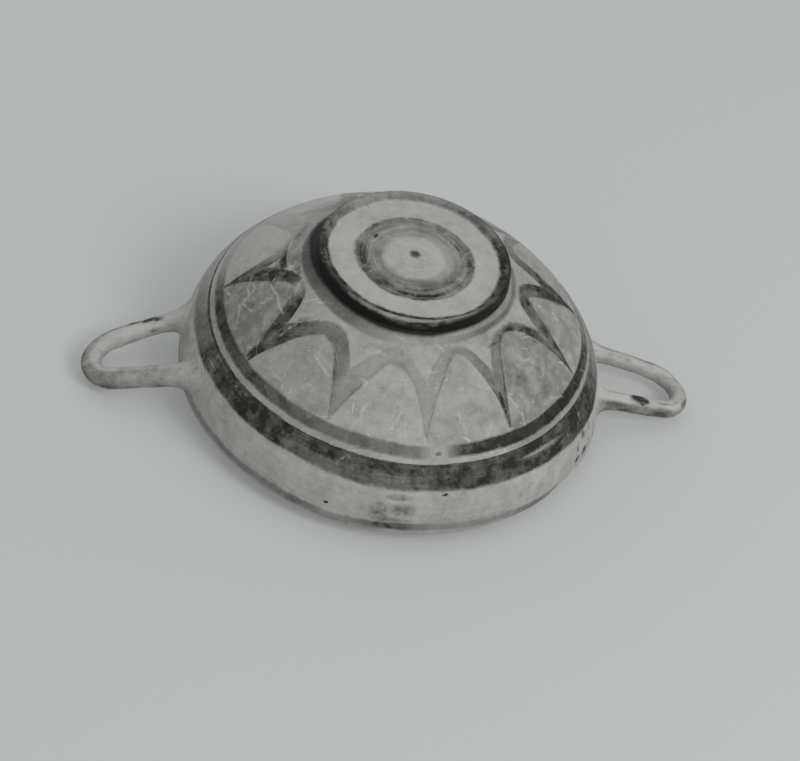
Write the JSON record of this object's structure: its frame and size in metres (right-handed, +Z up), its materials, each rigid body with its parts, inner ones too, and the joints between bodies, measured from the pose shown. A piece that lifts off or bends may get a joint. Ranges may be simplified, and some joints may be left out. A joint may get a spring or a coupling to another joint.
{
  "type": "lidded two-handled pyxis box",
  "caption": "Low round clay box with loop handles and a lift-off domed lid under a broad hollowed disc knob, painted with dark bands, brushed arches and rings.",
  "frame": {"origin": "on the wheel axis, in the plane that the foot ring stands on", "axes": "+Z up along the wheel axis, X through both handles, Y across them"},
  "size_m": [0.2636, 0.1794, 0.0774],
  "materials": {
    "painted_clay": "matt fired clay with worn dark slip bands",
    "plain_clay": "matt fired clay",
    "handle_clay": "matt fired clay with traces of dark slip",
    "painted_lid_clay": "matt fired clay with brushed dark arches and bands",
    "knob_clay": "matt fired clay with dark rings"
  },
  "bodies": {
    "box": {"body": "painted_clay", "foot_ring": "plain_clay", "handle_left": "handle_clay", "handle_right": "handle_clay"},
    "lid": {"lid": "painted_lid_clay", "lid_knob": "knob_clay"}
  },
  "joints": [
    {"name": "lid_lift", "type": "slide", "parent": "box", "child": "lid", "axis": [0, 0, 1], "range_m": [0, 0.1]}
  ]
}
